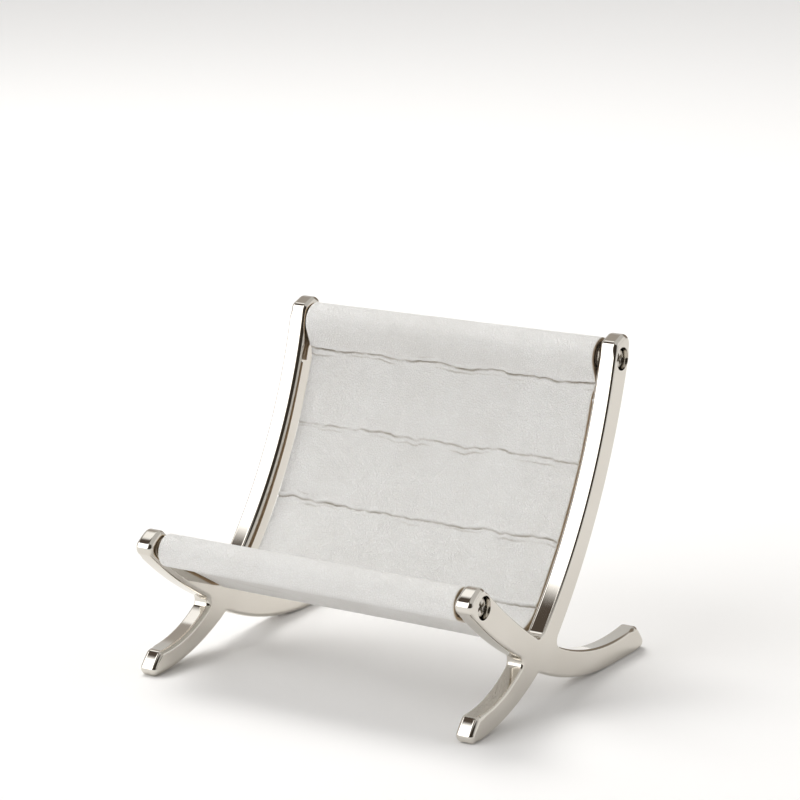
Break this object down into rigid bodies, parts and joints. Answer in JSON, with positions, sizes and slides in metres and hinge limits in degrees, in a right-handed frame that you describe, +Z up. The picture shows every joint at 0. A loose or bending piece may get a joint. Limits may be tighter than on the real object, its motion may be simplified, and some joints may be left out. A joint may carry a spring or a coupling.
{
  "type": "phone stand",
  "caption": "Phone stand shaped like a small X-framed lounge chair, with polished metal side frames and a leather sling.",
  "frame": {"origin": "on the surface the stand rests on, midway between the two side frames and midway between the front and rear ends of the feet", "axes": "+X along the crossbars, towards the right side frame as seen from the front; +Y from the seat towards the back; +Z up"},
  "size_m": [0.0912, 0.08, 0.0788],
  "materials": {
    "polished_frame": "mirror-polished nickel plate on cast metal, slightly warm",
    "bar_steel": "plain ground steel rod",
    "screw_steel": "nickel-plated steel screws",
    "face_leather": "fine-grained ivory white leather with a soft sheen",
    "fibre_board": "thin bonded-leather fibre board, tan, seen only at its cut edges",
    "lining_leather": "thin ivory leather, slightly greyer than the face"
  },
  "bodies": {
    "root": {"right_side_frame": "polished_frame", "left_side_frame": "polished_frame", "front_crossbar": "bar_steel", "top_crossbar": "bar_steel", "front_right_screw": "screw_steel", "front_left_screw": "screw_steel", "top_right_screw": "screw_steel", "top_left_screw": "screw_steel", "sling_face": "face_leather", "sling_stiffener": "fibre_board", "sling_lining": "lining_leather"}
  },
  "joints": []
}
